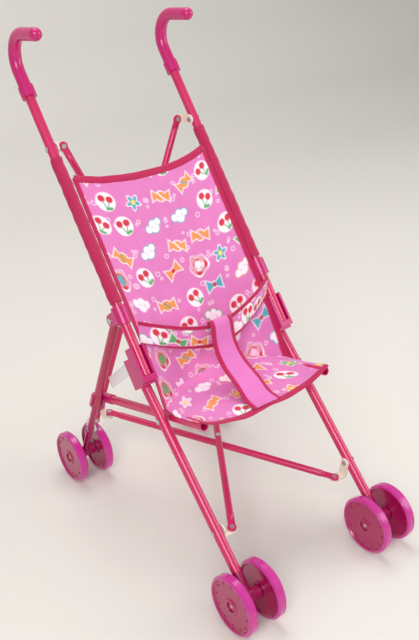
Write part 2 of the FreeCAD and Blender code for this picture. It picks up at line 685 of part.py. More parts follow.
def make_cloth():
    """Sling seat: back, pan, lap belt, crotch strap and the sleeves on the upper tubes."""
    cloth = size("cloth_thickness")
    crease = at["joint_upper"].moved(behind_upper, 30).moved(upper, -31.5)
    top = at["brace_top"].moved(upper, -50).moved(behind_upper, -3.5)
    back = slab("SeatBack", crease.moved(upper, 3), top, seat_plane + 1.8, cloth)
    keep(back, "seat_back")
    pan_half = seat_plane - seat_radius - 0.6
    pan_front = at["seat_front"].moved(seat_rear, 6).moved(seat_up, -10)
    pan_rear = Point(crease.y - 2.5, crease.z - 3)
    keep(slab("SeatPan", pan_front, pan_rear, pan_half, cloth), "seat_pan")
    belt_low = at["joint_upper"].moved(upper, -13).moved(behind_upper, -6)
    belt_high = Point(belt_low.y + 2, belt_low.z + 28)
    keep(slab("LapBelt", belt_low, belt_high, track - main_radius - 3.6, 2.0), "lap_belt")
    strap_top = Point(belt_high.y - 2.4, belt_high.z + 12)
    strap_knee = Point(belt_low.y - 34, belt_low.z - 18)
    strap_end = pan_front.moved(seat_rear, 4).moved(seat_up, 4)
    upper_part = slab("StrapUpper", strap_top, strap_knee, 12.5, 1.6)
    lower_part = slab("StrapLower", strap_knee, strap_end, 14.0, 1.6)
    bend = cylinder("StrapBend", 0.8, 25, (-12.5, strap_knee.y, strap_knee.z), (1, 0, 0))
    keep(joined("CrotchStrap", [upper_part, lower_part, bend]), "crotch_strap")


def make_sleeve(side, sign):
    """Cloth tube of the seat back round the upper tube."""
    name = "Sleeve" + side
    low = 14.0
    length = size("collar_to_brace") - low - 12
    outer = cylinder(name + "Outer", "Sizes.main_tube_dia / 2 + 0.3 + Sizes.sleeve_wall", length)
    bore = cylinder(name + "Bore", "Sizes.main_tube_dia / 2 + 0.3", length)
    obj = without(name, outer, [bore])
    obj.Placement = along(sign * track, at["collar"].moved(upper, low), upper)
    return keep(obj, "side_sleeve_" + side)


# ---------------------------------------------------------------- build everything
for side, sign in SIDES:
    make_handle(side, sign)
    make_upper_tube(side, sign)
    make_lower_tube(side, sign)
    make_connector(side, sign)
    make_collar(side, sign)
    make_rear_leg(side, sign)
    for end in ("front", "rear"):
        make_fork(end, side, sign)
        make_axle(end, side, sign)
        for place, outward in (("outer", sign), ("inner", -sign)):
            face = sign * track + outward * size("wheel_gap") / 2
            make_wheel("%s_wheel_%s_%s" % (end, side, place), face, end + "_axle", outward)
    make_seat_tube(side, sign)
    make_seat_clip(side, sign)
    for plane, names, near_at, far_at in (
            (back_plane, ("upper_back_bracket", "lower_back_bracket", "back_brace", "back_brace_rivets"),
             main_radius + clear, size("stem_dia") / 2 + clear),
            (bottom_plane, ("front_bottom_bracket", "rear_bottom_bracket", "bottom_brace", "bottom_brace_rivets"),
             main_radius + clear, size("lug_inner") + clear)):
        make_bracket("%s_%s" % (names[0], side), sign, plane, plane.start, near_at, size("near_gap"),
                     plane.brace_offset(sign))
        make_bracket("%s_%s" % (names[1], side), sign, plane, plane.end, far_at, size("far_gap"),
                     plane.brace_offset(-sign))
        make_brace("%s_%s" % (names[2], side), sign, plane)
        make_brace_rivets("%s_%s" % (names[3], side), sign, plane)
    make_frame_rivets(side, sign)
    make_leg_rivet(side, sign)
    make_clip_rivet(side, sign)
    make_sleeve(side, sign)
make_cloth()
doc.recompute()

# ---------------------------------------------------------------- checks and export
faults = []
for obj in doc.Objects:
    if "Invalid" in obj.State or "Error" in obj.State:
        faults.append("%s: %s" % (obj.Name, obj.State))
for obj in pieces:
    if obj.Shape.isNull() or not obj.Shape.isValid():
        faults.append("%s: bad shape" % obj.Label)
if faults:
    raise RuntimeError("; ".join(faults))

os.makedirs("parts", exist_ok=True)
whole = FreeCAD.BoundBox()
for obj in pieces:
    obj.Shape.exportStep("parts/%s.step" % obj.Label)
    whole.add(obj.Shape.BoundBox)
    print("%-28s volume %9.1f solids %d" % (obj.Label, obj.Shape.Volume, len(obj.Shape.Solids)))
print("%d pieces" % len(pieces))
print("x %.1f %.1f  y %.1f %.1f  z %.1f %.1f" % (whole.XMin, whole.XMax, whole.YMin, whole.YMax,
                                                 whole.ZMin, whole.ZMax))
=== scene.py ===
import bpy
import math
import random
import numpy as np
from mathutils import Matrix, Vector, noise


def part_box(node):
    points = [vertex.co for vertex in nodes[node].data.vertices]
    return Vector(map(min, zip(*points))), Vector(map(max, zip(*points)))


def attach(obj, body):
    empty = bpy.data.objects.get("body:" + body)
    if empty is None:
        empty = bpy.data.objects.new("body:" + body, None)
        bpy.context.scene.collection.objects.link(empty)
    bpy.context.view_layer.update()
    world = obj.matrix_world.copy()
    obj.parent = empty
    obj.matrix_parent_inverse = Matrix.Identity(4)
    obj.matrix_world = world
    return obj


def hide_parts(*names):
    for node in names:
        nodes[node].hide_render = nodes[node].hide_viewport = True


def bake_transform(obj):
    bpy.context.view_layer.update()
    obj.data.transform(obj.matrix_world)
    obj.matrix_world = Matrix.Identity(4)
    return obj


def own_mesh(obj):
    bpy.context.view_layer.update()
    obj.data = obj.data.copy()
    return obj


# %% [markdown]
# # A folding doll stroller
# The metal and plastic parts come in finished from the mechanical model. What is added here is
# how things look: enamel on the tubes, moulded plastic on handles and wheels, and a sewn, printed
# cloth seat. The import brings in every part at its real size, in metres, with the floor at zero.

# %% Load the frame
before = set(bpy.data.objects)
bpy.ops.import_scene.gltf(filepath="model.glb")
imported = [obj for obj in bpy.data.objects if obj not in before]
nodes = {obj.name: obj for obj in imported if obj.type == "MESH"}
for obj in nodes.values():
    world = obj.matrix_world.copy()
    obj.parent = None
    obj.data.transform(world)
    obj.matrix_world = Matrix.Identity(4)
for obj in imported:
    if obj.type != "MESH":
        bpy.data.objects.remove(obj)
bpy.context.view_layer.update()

# %% [markdown]
# Places on the stroller are read from the parts themselves, so the cloth follows the frame if it
# changes. `centre` gives the middle of a part, and `millimetres` turns the maker's usual unit
# into Blender's metres.

# %% Small helpers for places
def millimetres(*values):
    return Vector([value / 1000 for value in values])


def centre(node):
    low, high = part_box(node)
    return (Vector(low) + Vector(high)) / 2


half_track = centre("upper_tube_right").x
print("half track %.1f mm" % (half_track * 1000))

# %% [markdown]
# Colours are named in the 0 to 255 numbers of a paint chart and turned into the linear light that
# shaders work with.

# %% Colours
def paint(red, green, blue):
    linear = []
    for value in (red, green, blue):
        share = value / 255
        linear.append(share / 12.92 if share <= 0.04045 else ((share + 0.055) / 1.055) ** 2.4)
    return tuple(linear)


CORAL = paint(204, 24, 92)
# Rear legs: the tube enamel made darker, painted shade for legs that stand in shadow.
SHADED_CORAL = paint(176, 14, 70)
MAGENTA = paint(194, 16, 106)
DEEP_MAGENTA = paint(168, 8, 84)
# Lighter colour for the wheel tread: painted light where the tread catches it.
LIT_TREAD = paint(196, 40, 140)
CREAM = paint(236, 228, 212)
CRIMSON = paint(186, 12, 78)
MAUVE = paint(224, 124, 188)
STEEL = (0.60, 0.60, 0.61)

# %% [markdown]
# Every finish starts from the same recipe: the Principled shader, with a noise texture that
# varies roughness a little and a second, finer one that lifts the surface, because nothing real
# is perfectly even.

# %% A finish with uneven gloss and a fine surface
def finish(name, colour, roughness, spread=0.05, metallic=0.0, coat=0.0, grain=900.0, lift=0.03, mottle=0.06):
    material = bpy.data.materials.new(name)
    material.use_nodes = True
    tree = material.node_tree
    shader = tree.nodes["Principled BSDF"]
    place = tree.nodes.new("ShaderNodeTexCoord")
    broad = tree.nodes.new("ShaderNodeTexNoise")
    broad.inputs["Scale"].default_value = 35
    broad.inputs["Detail"].default_value = 3
    tree.links.new(place.outputs["Object"], broad.inputs["Vector"])
    gloss = tree.nodes.new("ShaderNodeMapRange")
    gloss.inputs["To Min"].default_value = max(0.02, roughness - spread)
    gloss.inputs["To Max"].default_value = roughness + spread
    tree.links.new(broad.outputs["Fac"], gloss.inputs["Value"])
    tree.links.new(gloss.outputs["Result"], shader.inputs["Roughness"])
    tint = tree.nodes.new("ShaderNodeMix")
    tint.data_type = "RGBA"
    tint.inputs["A"].default_value = (*[channel * (1 - mottle) for channel in colour], 1)
    tint.inputs["B"].default_value = (*[min(1, channel * (1 + mottle)) for channel in colour], 1)
    tree.links.new(broad.outputs["Fac"], tint.inputs["Factor"])
    tree.links.new(tint.outputs["Result"], shader.inputs["Base Color"])
    fine = tree.nodes.new("ShaderNodeTexNoise")
    fine.inputs["Scale"].default_value = grain
    tree.links.new(place.outputs["Object"], fine.inputs["Vector"])
    bump = tree.nodes.new("ShaderNodeBump")
    bump.inputs["Strength"].default_value = lift
    bump.inputs["Distance"].default_value = 0.0005
    tree.links.new(fine.outputs["Fac"], bump.inputs["Height"])
    tree.links.new(bump.outputs["Normal"], shader.inputs["Normal"])
    shader.inputs["Metallic"].default_value = metallic
    shader.inputs["Coat Weight"].default_value = coat
    shader.inputs["Coat Roughness"].default_value = 0.12
    return material


enamel = finish("pink_enamel", CORAL, 0.34, coat=0.45)
# The rear legs' enamel is the tube pink made darker: painted shade, not a different paint.
shaded_leg_enamel = finish("shaded_pink_enamel", SHADED_CORAL, 0.36, coat=0.4)
moulding = finish("magenta_moulding", MAGENTA, 0.30, coat=0.25, grain=500, lift=0.06)
fork_moulding = finish("fork_moulding", DEEP_MAGENTA, 0.33, coat=0.25, grain=500, lift=0.06)
bracket_paint = finish("cream_bracket", CREAM, 0.42, coat=0.2, mottle=0.04)
rivet_steel = finish("bright_rivet", STEEL, 0.28, metallic=1.0, grain=1500, lift=0.04)
print("finishes:", len(bpy.data.materials))

# %% [markdown]
# A wheel is one moulding, but its dished face looks deeper than its tread, which catches the
# light, so the tread gets a lighter colour as painted light. The distance from the axle is worked
# out in the shader, and a soft step between the two colours falls where the face ends.

# %% Wheel plastic
def wheel_finish(name, axle):
    material = finish(name, DEEP_MAGENTA, 0.24, coat=0.5, grain=400, lift=0.05)
    tree = material.node_tree
    shader = tree.nodes["Principled BSDF"]
    place = tree.nodes.new("ShaderNodeTexCoord")
    shift = tree.nodes.new("ShaderNodeVectorMath")
    shift.operation = "SUBTRACT"
    shift.inputs[1].default_value = axle
    tree.links.new(place.outputs["Object"], shift.inputs[0])
    side_on = tree.nodes.new("ShaderNodeVectorMath")
    side_on.operation = "MULTIPLY"
    side_on.inputs[1].default_value = (0, 1, 1)
    tree.links.new(shift.outputs["Vector"], side_on.inputs[0])
    radius = tree.nodes.new("ShaderNodeVectorMath")
    radius.operation = "LENGTH"
    tree.links.new(side_on.outputs["Vector"], radius.inputs[0])
    step = tree.nodes.new("ShaderNodeMapRange")
    step.inputs["From Min"].default_value = 0.0288
    step.inputs["From Max"].default_value = 0.0298
    tree.links.new(radius.outputs["Value"], step.inputs["Value"])
    both = tree.nodes.new("ShaderNodeMix")
    both.data_type = "RGBA"
    # B is the lighter tread colour, painted light on the one wheel plastic.
    both.inputs["B"].default_value = (*LIT_TREAD, 1)
    face_colour = shader.inputs["Base Color"].links[0].from_socket
    tree.links.new(face_colour, both.inputs["A"])
    tree.links.new(step.outputs["Result"], both.inputs["Factor"])
    tree.links.new(both.outputs["Result"], shader.inputs["Base Color"])
    return material


# %% Give each hard part its finish
def dress(node, material):
    mesh = nodes[node].data
    mesh.materials.clear()
    mesh.materials.append(material)


for end in ("front", "rear"):
    axle = centre(end + "_axle_right") * 1.0 - Vector((half_track, 0, 0))
    wheel_plastic = wheel_finish(end + "_wheel_plastic", axle)
    for node in nodes:
        if node.startswith(end + "_wheel"):
            dress(node, wheel_plastic)
for node in nodes:
    if node.startswith(("handle", "frame_connector", "pivot_collar", "seat_clip")):
        dress(node, moulding)
    elif "fork" in node:
        dress(node, fork_moulding)
    elif "rivet" in node or "axle" in node:
        dress(node, rivet_steel)
    elif "bracket" in node:
        dress(node, bracket_paint)
    # Rear legs take the darker enamel, which is painted shade.
    elif node.startswith("rear_leg"):
        dress(node, shaded_leg_enamel)
    elif node.startswith(("upper_tube", "lower_tube", "seat_tube", "back_brace", "bottom_brace")):
        dress(node, enamel)
print("wheel plastic and enamel are on")

# %% [markdown]
# The seat is thin polyester, printed with small pictures on a mauve-pink ground. The print is
# drawn in code: each picture is a shape that says how far a point is from its edge, and the
# cloth's own points take their colour from it. The pictures are hearts, flowers, clouds,
# cherries, sweets and bows, scattered with a fixed seed so they fall the same way every time.

# %% Shapes of the print
def circle(x, y, cx, cy, radius):
    return np.hypot(x - cx, y - cy) - radius


def heart(x, y):
    x = x / 7.0
    y = y / 7.0 + 0.15
    return ((x * x + y * y - 1) ** 3 - x * x * y ** 3) * 2.2


def flower(x, y):
    angle = np.arctan2(y, x)
    return np.hypot(x, y) - 6.6 * (0.74 + 0.26 * np.cos(5 * angle))


def cloud(x, y):
    puffs = [circle(x, y, -5.5, -0.5, 4.0), circle(x, y, 0, 1.6, 5.2), circle(x, y, 5.6, -0.6, 3.8),
             circle(x, y, 0.5, -2.0, 4.2)]
    return np.minimum.reduce(puffs)


def segment(x, y, ax, ay, bx, by, width):
    along = np.clip(((x - ax) * (bx - ax) + (y - ay) * (by - ay)) / ((bx - ax) ** 2 + (by - ay) ** 2), 0, 1)
    return np.hypot(x - ax - along * (bx - ax), y - ay - along * (by - ay)) - width


def sweet(x, y):
    wrapper = np.maximum(np.abs(y) - np.abs(x) * 0.55, np.abs(x) - 8.5)
    return np.minimum(circle(x, y, 0, 0, 4.3), wrapper)


def bow(x, y):
    loops = np.maximum(np.abs(y) - 0.8 - np.abs(x) * 0.6, np.abs(x) - 7.5)
    return np.minimum(loops, circle(x, y, 0, 0, 2.2))


# %% Colours of the print
RED = np.array(paint(214, 44, 70))
WHITE = np.array(paint(250, 240, 246))
TURQUOISE = np.array(paint(84, 172, 186))
GREEN = np.array(paint(92, 170, 104))
ORANGE = np.array(paint(238, 150, 84))
YELLOW = np.array(paint(246, 216, 110))
PALE = np.array(paint(252, 206, 232))
INK = np.array(paint(150, 56, 96))


def cover(colours, distance, ink, soft=0.45):
    share = np.clip(0.5 - distance / (2 * soft), 0, 1)[:, None]
    colours[:] = colours * (1 - share) + ink * share


def draw(colours, x, y, kind, accent):
    """One picture on the ground colour; x and y are millimetres from its centre."""
    x = x / 1.3
    y = y / 1.3
    if kind == "heart":
        cover(colours, heart(x / 1.2, y / 1.2), WHITE)
        cover(colours, heart(x, y), RED)
        cover(colours, heart(x / 0.6, y / 0.6), accent)
    elif kind == "flower":
        cover(colours, flower(x, y) - 1.2, WHITE)
        cover(colours, flower(x, y), accent)
        cover(colours, circle(x, y, 0, 0, 2.2), YELLOW)
    elif kind == "cloud":
        cover(colours, cloud(x, y), accent)
        cover(colours, cloud(x, y) + 0.8, WHITE)
        cover(colours, circle(x, y, -2, 0, 1.1), PALE)
        cover(colours, circle(x, y, 3, 0.4, 1.1), PALE)
    elif kind == "cherries":
        cover(colours, circle(x, y, 0, -1, 8.6), WHITE)
        cover(colours, segment(x, y, -3.4, -3, 0.5, 5.5, 0.5), GREEN)
        cover(colours, segment(x, y, 3.6, -2.6, 0.5, 5.5, 0.5), GREEN)
        cover(colours, circle(x, y, -3.4, -3.6, 3.1), RED)
        cover(colours, circle(x, y, 3.6, -3.2, 3.1), RED)
        cover(colours, segment(x, y, 0.5, 5.5, 4.4, 4.6, 1.3), GREEN)
    elif kind == "sweet":
        cover(colours, sweet(x, y) - 0.9, WHITE)
        cover(colours, sweet(x, y), ORANGE)
        cover(colours, np.maximum(circle(x, y, 0, 0, 4.3), np.abs(x - y) - 0.9), accent)
    else:
        cover(colours, bow(x, y) - 0.9, WHITE)
        cover(colours, bow(x, y), accent)
        cover(colours, circle(x, y, 0, 0, 1.9), RED)


# %% Scatter the pictures
def printed(flat, seed, spacing=35.0):
    """Colours for points whose place on the flat cloth is given in millimetres."""
    chance = random.Random(seed)
    colours = np.tile(np.array(MAUVE), (len(flat), 1))
    low = flat.min(axis=0) - spacing
    high = flat.max(axis=0) + spacing
    kinds = ["heart", "flower", "cloud", "cherries", "sweet", "bow"]
    accents = [TURQUOISE, PALE, GREEN, WHITE, ORANGE, TURQUOISE]
    row = 0
    height = low[1]
    while height < high[1]:
        across = low[0] + (spacing / 2 if row % 2 else 0)
        while across < high[0]:
            px = across + chance.uniform(-4, 4)
            py = height + chance.uniform(-4, 4)
            turn = chance.uniform(-0.6, 0.6)
            kind = chance.choice(kinds)
            accent = chance.choice(accents)
            near = np.hypot(flat[:, 0] - px, flat[:, 1] - py) < 19
            if near.any():
                dx = flat[near, 0] - px
                dy = flat[near, 1] - py
                part = colours[near]
                turned_x = dx * math.cos(turn) + dy * math.sin(turn)
                turned_y = dy * math.cos(turn) - dx * math.sin(turn)
                draw(part, turned_x, turned_y, kind, accent)
                colours[near] = part
            for number in range(2):
                bx = px + chance.uniform(14, 21) * chance.choice((-1, 1))
                by = py + chance.uniform(-12, 12)
                ring = np.abs(circle(flat[:, 0], flat[:, 1], bx, by, chance.uniform(1.2, 2.6))) - 0.35
                cover(colours, ring, WHITE)
            across += spacing
        height += spacing * 0.87
        row += 1
    return colours


print("print is ready")

# %% [markdown]
# Printed cloth needs a shader that takes the colour from the points, darkens it slightly in a
# fine weave, and gives it the soft edge glow of brushed fibres. Two crossing wave textures make
# the over-and-under of the threads.

# %% Cloth finish
def cloth_finish(name, colour=None, roughness=0.78):
    material = bpy.data.materials.new(name)
    material.use_nodes = True
    tree = material.node_tree
    shader = tree.nodes["Principled BSDF"]
    shader.inputs["Roughness"].default_value = roughness
    shader.inputs["Sheen Weight"].default_value = 0.25
    shader.inputs["Sheen Roughness"].default_value = 0.4
    place = tree.nodes.new("ShaderNodeUVMap")
    threads = []
    for direction in ("X", "Y"):
        wave = tree.nodes.new("ShaderNodeTexWave")
        wave.bands_direction = direction
        wave.inputs["Scale"].default_value = 420
        wave.inputs["Distortion"].default_value = 0.6
        tree.links.new(place.outputs["UV"], wave.inputs["Vector"])
        threads.append(wave.outputs["Fac"])
    weave = tree.nodes.new("ShaderNodeMath")
    weave.operation = "MULTIPLY"
    tree.links.new(threads[0], weave.inputs[0])
    tree.links.new(threads[1], weave.inputs[1])
    bump = tree.nodes.new("ShaderNodeBump")
    bump.inputs["Strength"].default_value = 0.22
    bump.inputs["Distance"].default_value = 0.0003
    tree.links.new(weave.outputs["Value"], bump.inputs["Height"])
    tree.links.new(bump.outputs["Normal"], shader.inputs["Normal"])
    uneven = tree.nodes.new("ShaderNodeTexNoise")
    uneven.inputs["Scale"].default_value = 60
    uneven.inputs["Detail"].default_value = 4
    tree.links.new(place.outputs["UV"], uneven.inputs["Vector"])
    shade = tree.nodes.new("ShaderNodeMapRange")
    shade.inputs["To Min"].default_value = 0.9
    shade.inputs["To Max"].default_value = 1.06
    tree.links.new(uneven.outputs["Fac"], shade.inputs["Value"])
    scale = tree.nodes.new("ShaderNodeVectorMath")
    scale.operation = "SCALE"
    if colour is None:
        ground = tree.nodes.new("ShaderNodeVertexColor")
        ground.layer_name = "print"
        tree.links.new(ground.outputs["Color"], scale.inputs[0])
    else:
        scale.inputs[0].default_value = colour
    tree.links.new(shade.outputs["Result"], scale.inputs["Scale"])
    tree.links.new(scale.outputs["Vector"], shader.inputs["Base Color"])
    return material


print_cloth = cloth_finish("printed_cloth")
binding_cloth = cloth_finish("crimson_binding", CRIMSON, 0.7)
label_cloth = cloth_finish("white_label", paint(240, 236, 238), 0.8)

# %% [markdown]
# Each piece of cloth is a grid of points. A function says where a point that is a share `u`
# across and `v` along hangs in space; the distances between neighbouring points give its flat
# coordinates, so pictures and weave keep their true size wherever the cloth curves.

# %% Cloth from a grid
def cloth_piece(name, hang, across, along, thickness=0.0008, colour=None, material=None):
    points = np.array([[hang(2 * i / across - 1, j / along) for i in range(across + 1)]
                       for j in range(along + 1)])
    step_u = np.linalg.norm(np.diff(points, axis=1), axis=2)
    step_v = np.linalg.norm(np.diff(points, axis=0), axis=2)
    flat_u = np.concatenate([np.zeros((along + 1, 1)), np.cumsum(step_u, axis=1)], axis=1)
    flat_u = flat_u - flat_u[:, -1:] / 2
    flat_v = np.concatenate([np.zeros((1, across + 1)), np.cumsum(step_v, axis=0)], axis=0)
    flat = np.stack([flat_u.ravel(), flat_v.ravel()], axis=1)
    mesh = bpy.data.meshes.new(name)
    width = across + 1
    faces = [(j * width + i, j * width + i + 1, (j + 1) * width + i + 1, (j + 1) * width + i)
             for j in range(along) for i in range(across)]
    mesh.from_pydata([tuple(point) for point in points.reshape(-1, 3)], [], faces)
    layer = mesh.uv_layers.new(name="UVMap")
    corner_points = np.zeros(len(mesh.loops), dtype=np.int64)
    mesh.loops.foreach_get("vertex_index", corner_points)
    layer.data.foreach_set("uv", flat[corner_points].ravel())
    if colour is not None:
        inks = mesh.color_attributes.new(name="print", type="FLOAT_COLOR", domain="POINT")
        rgba = np.concatenate([colour(flat * 1000, points.reshape(-1, 3)), np.ones((len(flat), 1))], axis=1)
        inks.data.foreach_set("color", rgba.ravel())
    mesh.polygons.foreach_set("use_smooth", [True] * len(mesh.polygons))
    piece = bpy.data.objects.new(name, mesh)
    bpy.context.scene.collection.objects.link(piece)
    mesh.materials.append(material or print_cloth)
    if thickness:
        solid = piece.modifiers.new("thickness", "SOLIDIFY")
        solid.thickness = thickness
        solid.offset = 0
    size = (step_u.sum(axis=1).mean(), step_v.sum(axis=0).mean())
    print("%s: about %.0f x %.0f mm flat" % (name, size[0] * 1000, size[1] * 1000))
    return piece, size


def smooth_path(stops):
    """A curve through named stops, read by a share from 0 to 1."""
    stops = [Vector(stop) for stop in stops]

    def read(share):
        place = max(0.0, min(0.999999, share)) * (len(stops) - 1)
        index = int(place)
        part = place - index
        a = stops[max(0, index - 1)]
        b = stops[index]
        c = stops[index + 1]
        d = stops[min(len(stops) - 1, index + 2)]
        return 0.5 * ((2 * b) + (c - a) * part + (2 * a - 5 * b + 4 * c - d) * part ** 2
                      + (3 * b - a - 3 * c + d) * part ** 3)
    return read


# %% [markdown]
# The back of the seat hangs between the two long tubes. Its sides follow them down to the seat
# tubes; its middle sags behind their line, and its top edge dips a little. The side line and the
# middle line are drawn as two curves in the side view, and every row of cloth is a shallow arc
# between them. Soft noise adds the small pulls of thin cloth.

# %% Back of the seat
tube_lean = math.radians(36.8)
up_tube = Vector((0, math.sin(tube_lean), math.cos(tube_lean)))
back_of_tube = Vector((0, math.cos(tube_lean), -math.sin(tube_lean)))
brace_top = Vector((0, (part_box("frame_rivets_right")[1])[1], (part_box("frame_rivets_right")[1])[2]))
RIVET_HEAD_RADIUS = 0.0027
brace_top = brace_top - Vector((0, RIVET_HEAD_RADIUS, RIVET_HEAD_RADIUS))
back_low, back_high = (Vector(corner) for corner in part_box("seat_back"))
pan_low, pan_high = (Vector(corner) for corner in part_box("seat_pan"))
crease = Vector((0, back_low.y + 0.0005, pan_high.z - 0.0005))
seat_tube_low, seat_tube_high = (Vector(corner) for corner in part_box("seat_tube_right"))
seat_corner = Vector((0, seat_tube_low.y + 0.066, seat_tube_high.z - 0.0160))
side_line = smooth_path([
    brace_top - up_tube * 0.038 - back_of_tube * 0.004,
    brace_top - up_tube * 0.090 - back_of_tube * 0.003,
    brace_top - up_tube * 0.145 - back_of_tube * 0.003,
    brace_top - up_tube * 0.200 - back_of_tube * 0.003,
    brace_top - up_tube * 0.248 - back_of_tube * 0.002,
    seat_corner,
])
middle_line = smooth_path([
    Vector((0, back_high.y - 0.004, back_high.z - 0.002)),
    Vector((0, back_high.y * 0.78 + back_low.y * 0.22, back_high.z * 0.8 + back_low.z * 0.2)),
    Vector((0, back_high.y * 0.57 + back_low.y * 0.43 + 0.002, back_high.z * 0.6 + back_low.z * 0.4)),
    Vector((0, back_high.y * 0.36 + back_low.y * 0.64 + 0.004, back_high.z * 0.4 + back_low.z * 0.6)),
    Vector((0, back_high.y * 0.16 + back_low.y * 0.84 + 0.004, back_high.z * 0.2 + back_low.z * 0.8)),
    crease,
])


def ripple(place, size, amount, seed):
    return noise.noise(Vector(place) * size + Vector((seed, seed * 1.7, 0))) * amount


def hang_back(u, v):
    side = side_line(v)
    middle = middle_line(v)
    share = abs(u) ** 2.6
    place = middle.lerp(side, share)
    half_width = 0.0885
    place.x = u * half_width
    loose = (1 - abs(u) ** 6)
    pull = (ripple((place.x, place.y, place.z), 22, 0.0030, 3.1)
            + ripple((place.x * 1.5, place.z, 0), 55, 0.0010, 8.2))
    place += back_of_tube * pull * loose
    return place


def back_colours(flat, points):
    colours = printed(flat, 7)
    edge = 3.2
    rim = flat[:, 1] - edge
    cover(colours, rim, np.array(CRIMSON))
    side = 88 - np.abs(points[:, 0]) * 1000 - 5.0
    cover(colours, side, np.array(CRIMSON))
    return colours


back, back_size = cloth_piece("seat_back_cloth", hang_back, 200, 260, colour=back_colours)
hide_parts("seat_back")
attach(back, "seat")

# %% [markdown]
# The seat itself runs forward from the crease to a bound front edge. It is held up at its sides
# by the two seat tubes, so its front corners are high and its middle hangs lower.

# %% Pan of the seat
seat_plane = (seat_tube_low.x + seat_tube_high.x) / 2
front_corner = Vector((0, seat_tube_low.y + 0.004, seat_tube_high.z + 0.0012))
pan_side = smooth_path([
    seat_corner,
    seat_corner.lerp(front_corner, 0.34) - Vector((0, 0, 0.002)),
    seat_corner.lerp(front_corner, 0.67) - Vector((0, 0, 0.002)),
    front_corner,
])
pan_middle = smooth_path([
    crease,
    Vector((0, crease.y * 0.66 + pan_low.y * 0.34, pan_low.z + 0.0025)),
    Vector((0, crease.y * 0.33 + pan_low.y * 0.67, pan_low.z + 0.0012)),
    Vector((0, pan_low.y - 0.002, pan_low.z + 0.0022)),
])


def hang_pan(u, v):
    side = pan_side(v)
    middle = pan_middle(v)
    share = abs(u) ** 2.8
    place = middle.lerp(side, share)
    half_width = 0.0885 + 0.0010 * v
    place.x = u * half_width
    loose = (1 - abs(u) ** 6)
    place.z += ripple((place.x, place.y, 0), 30, 0.0022, 5.4) * loose
    return place


def pan_colours(flat, points):
    colours = printed(flat, 11)
    length = flat[:, 1].max()
    cover(colours, length - 3.5 - flat[:, 1], np.array(CRIMSON))
    side = np.abs(flat[:, 0]).max() - np.abs(flat[:, 0]) - 4.5
    cover(colours, side, np.array(CRIMSON))
    return colours


pan, pan_size = cloth_piece("seat_pan_cloth", hang_pan, 200, 120, colour=pan_colours)
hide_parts("seat_pan")
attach(pan, "pan")

# %% [markdown]
# Raw edges are folded into a bias binding. It is drawn as a flattened tube that follows an edge
# of the cloth, with its narrow side across the edge and a row of small stitch dents.

# %% Binding along an edge
def binding(name, edge, wide, thick, body, steps=90, sides=12):
    spots = [edge(i / steps) for i in range(steps + 1)]
    mesh = bpy.data.meshes.new(name)
    rings = []
    for i, (spot, across) in enumerate(spots):
        spot = Vector(spot)
        ahead = Vector(spots[min(steps, i + 1)][0]) - Vector(spots[max(0, i - 1)][0])
        ahead.normalize()
        across = Vector(across) - ahead * Vector(across).dot(ahead)
        across.normalize()
        out = ahead.cross(across)
        dent = 0.9 if i % 2 else 1.04
        ring = []
        for k in range(sides):
            turn = 2 * math.pi * k / sides
            flatness = math.copysign(abs(math.cos(turn)) ** 0.7, math.cos(turn))
            ring.append(tuple(spot + across * flatness * wide / 2 + out * math.sin(turn) * thick / 2 * dent))
        rings.append(ring)
    faces = []
    for i in range(steps):
        for k in range(sides):
            after = (k + 1) % sides
            faces.append((i * sides + k, i * sides + after, (i + 1) * sides + after, (i + 1) * sides + k))
    faces.append(tuple(range(sides - 1, -1, -1)))
    faces.append(tuple(steps * sides + k for k in range(sides)))
    mesh.from_pydata([point for ring in rings for point in ring], [], faces)
    layer = mesh.uv_layers.new(name="UVMap")
    for loop in mesh.loops:
        point = mesh.vertices[loop.vertex_index].co
        layer.data[loop.index].uv = (point.x, point.y + point.z)
    mesh.polygons.foreach_set("use_smooth", [True] * len(mesh.polygons))
    piece = bpy.data.objects.new(name, mesh)
    bpy.context.scene.collection.objects.link(piece)
    mesh.materials.append(binding_cloth)
    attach(piece, body)
    return piece


def row_of(hang, v, towards):
    def edge(share):
        u = share * 1.96 - 0.98
        here = hang(u, v)
        return here, hang(u, towards) - here
    return edge


top_binding = binding("top_binding", row_of(hang_back, 0.0, 0.05), 0.0086, 0.0028, "seat")
front_binding = binding("front_binding", row_of(hang_pan, 1.0, 0.95), 0.0086, 0.0028, "pan")
print("edges are bound")

# %% [markdown]
# The long tubes run inside hems of the same crimson cloth. Each hem is a loose sleeve with a few
# gathers, so its outline is not as straight as the tube in it.

# %% Side hems
SLEEVE_RADIUS = 0.0073
for side, sign in (("left", -1), ("right", 1)):
    low, high = (Vector(corner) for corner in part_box("side_sleeve_" + side))
    middle = (low + high) / 2
    half_length = 0.5 * math.hypot(high.y - low.y - 2 * SLEEVE_RADIUS * up_tube.z,
                                   high.z - low.z - 2 * SLEEVE_RADIUS * up_tube.y)

    def hem_point(u, v, middle=middle, sign=sign):
        turn = math.pi * u
        along = (0.5 - v) * 2 * half_length
        gather = (0.0002 * math.sin(v * 70 + 2 * math.sin(turn))
                  + ripple((v * 4, math.cos(turn), sign), 2.0, 0.0005, 4))
        radius = 0.00655 + gather
        seam = 0.0010 * math.exp(-((abs(turn) - math.pi) / 0.35) ** 2)
        out = back_of_tube * math.cos(turn + math.pi) * -1
        return middle + up_tube * along + (Vector((1, 0, 0)) * math.sin(turn) + out * 1.0) * (radius + seam)
    hem, hem_size = cloth_piece("hem_" + side, hem_point, 48, 150, thickness=0.0006,
                                material=binding_cloth)
    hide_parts("side_sleeve_" + side)
    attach(hem, side + "_frame")

# %% [markdown]
# The lap belt is a flat band of the printed cloth with crimson edges. It starts at each tube
# beside the plastic joint, and dips in the middle where the strap holds it down.

